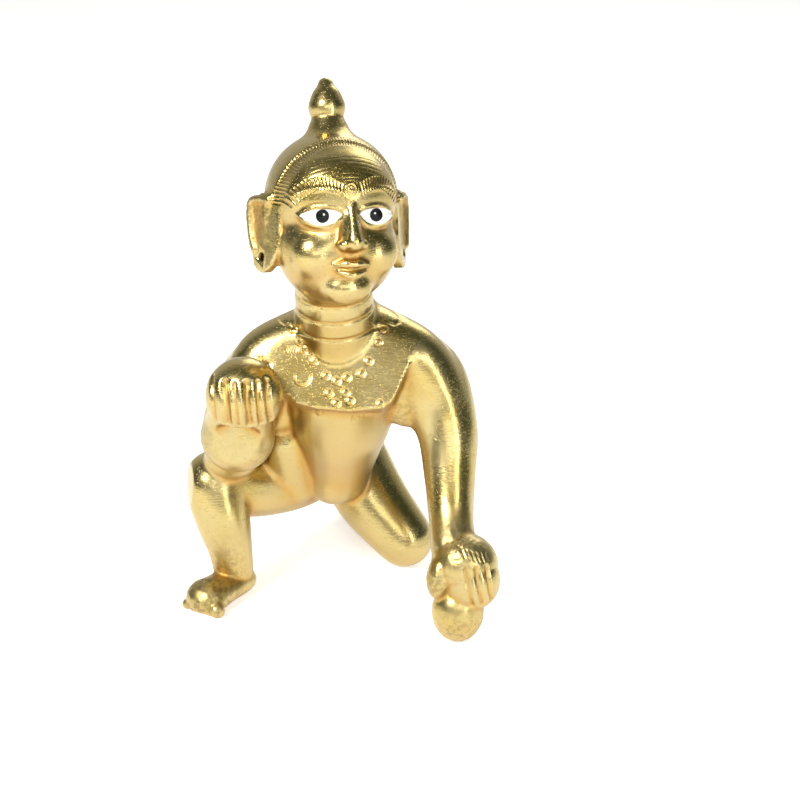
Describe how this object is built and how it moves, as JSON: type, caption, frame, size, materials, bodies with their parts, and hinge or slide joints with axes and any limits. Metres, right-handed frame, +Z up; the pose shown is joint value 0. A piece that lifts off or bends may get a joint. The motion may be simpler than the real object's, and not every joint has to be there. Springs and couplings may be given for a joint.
{
  "type": "laddu gopal idol",
  "caption": "Solid brass figure of a crawling infant on one knee, one hand raised with a round sweet and the other leaning on one, hair in a topknot, ears pierced for rings.",
  "frame": {"origin": "on the ground, under the middle of the figure's bounding box", "axes": "+Z up from the ground, -Y the way the figure faces, +X its own left-hand side"},
  "size_m": [0.063, 0.0754, 0.105],
  "materials": {
    "brass": "cast and polished brass, darker in the creases, with file marks and a few pits"
  },
  "bodies": {
    "root": {"laddu_gopal_idol": "brass"}
  },
  "joints": []
}
